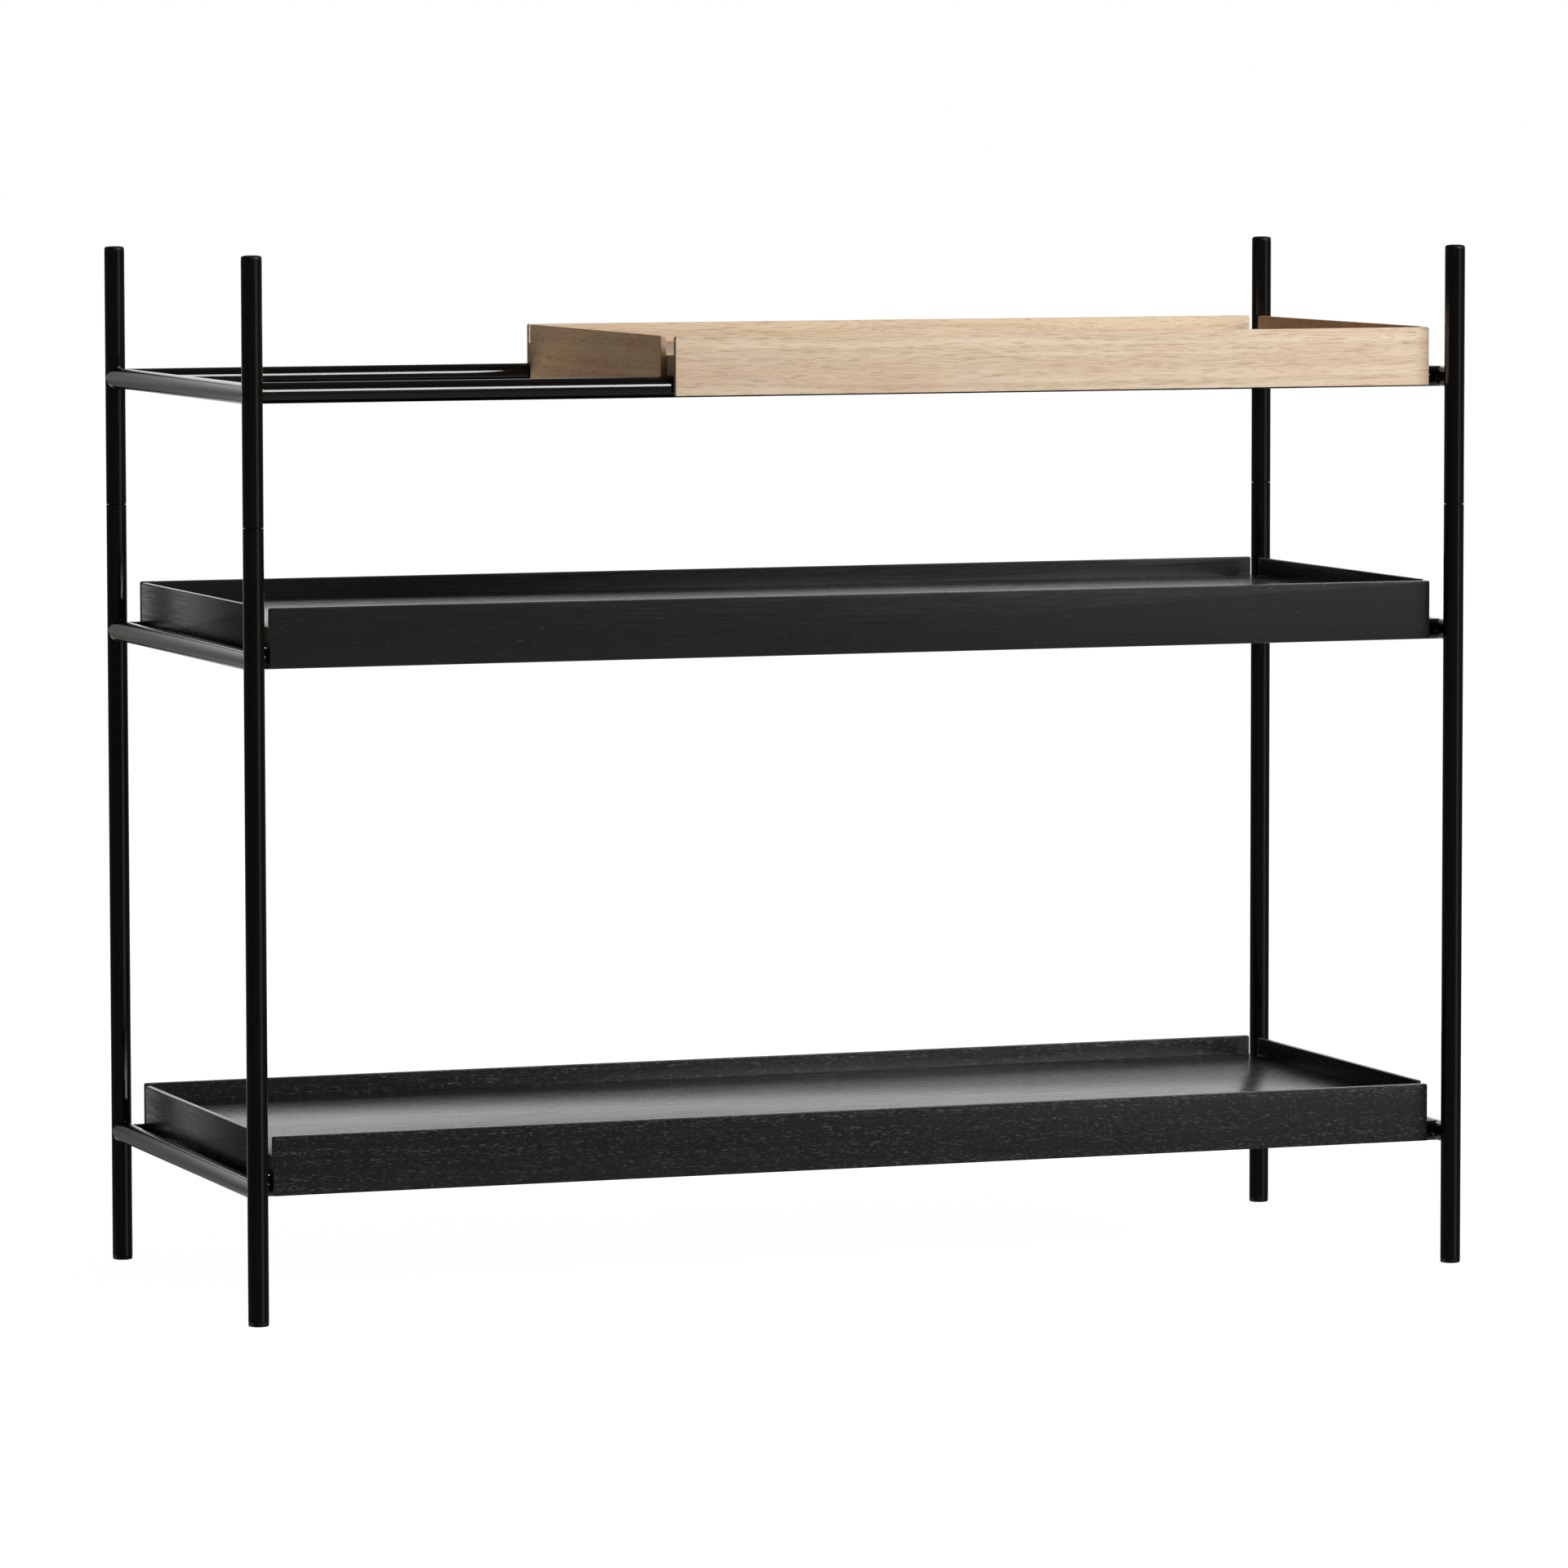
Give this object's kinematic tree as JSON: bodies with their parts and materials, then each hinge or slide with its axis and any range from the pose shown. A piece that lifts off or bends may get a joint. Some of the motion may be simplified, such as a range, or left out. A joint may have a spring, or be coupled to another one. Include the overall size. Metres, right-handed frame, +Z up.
{
  "type": "low tray shelf",
  "caption": "Low open shelf: a welded frame of round black steel tube holds long black-stained lift-out wood trays, and a shorter oak tray slides along the top rails.",
  "frame": {"origin": "on the ground, in the middle of the four feet: the bottom centre of the bounding box", "axes": "+X along the shelf to the right as seen from the front, +Y from the front to the back, +Z up"},
  "size_m": [1, 0.404, 0.807],
  "materials": {
    "black_steel": "satin black powder coat",
    "black_plastic": "matte black",
    "zinc_steel": "zinc-plated steel, hidden inside the posts",
    "black_oak": "black-stained open-pored oak, satin lacquer",
    "natural_oak": "natural oak, matt lacquer"
  },
  "bodies": {
    "frame": {"foot_front_left": "black_plastic", "foot_back_left": "black_plastic", "foot_front_right": "black_plastic", "foot_back_right": "black_plastic", "post_lower_front_left": "black_steel", "post_lower_back_left": "black_steel", "post_lower_front_right": "black_steel", "post_lower_back_right": "black_steel", "stud_front_left": "zinc_steel", "stud_back_left": "zinc_steel", "stud_front_right": "zinc_steel", "stud_back_right": "zinc_steel", "post_upper_front_left": "black_steel", "post_upper_back_left": "black_steel", "post_upper_front_right": "black_steel", "post_upper_back_right": "black_steel", "cap_front_left": "black_plastic", "cap_back_left": "black_plastic", "cap_front_right": "black_plastic", "cap_back_right": "black_plastic", "rail_low_left": "black_steel", "rail_low_right": "black_steel", "rail_low_front": "black_steel", "rail_low_back": "black_steel", "rail_middle_left": "black_steel", "rail_middle_right": "black_steel", "rail_middle_front": "black_steel", "rail_middle_back": "black_steel", "rail_top_left": "black_steel", "rail_top_right": "black_steel", "rail_top_front": "black_steel", "rail_top_back": "black_steel"},
    "low_tray": {"low_tray_floor": "black_oak", "low_tray_wall_front": "black_oak", "low_tray_wall_back": "black_oak", "low_tray_wall_left": "black_oak", "low_tray_wall_right": "black_oak"},
    "middle_tray": {"middle_tray_floor": "black_oak", "middle_tray_wall_front": "black_oak", "middle_tray_wall_back": "black_oak", "middle_tray_wall_left": "black_oak", "middle_tray_wall_right": "black_oak"},
    "oak_tray": {"oak_tray_floor": "natural_oak", "oak_tray_wall_front": "natural_oak", "oak_tray_wall_back": "natural_oak", "oak_tray_wall_left": "natural_oak", "oak_tray_wall_right": "natural_oak"}
  },
  "joints": [
    {"name": "low_tray_lift", "type": "slide", "parent": "frame", "child": "low_tray", "axis": [0, 0, 1], "range_m": [0, 0.35]},
    {"name": "middle_tray_lift", "type": "slide", "parent": "frame", "child": "middle_tray", "axis": [0, 0, 1], "range_m": [0, 0.15]},
    {"name": "oak_tray_slide", "type": "slide", "parent": "frame", "child": "oak_tray", "axis": [1, 0, 0], "range_m": [-0.326, 0.004]}
  ]
}
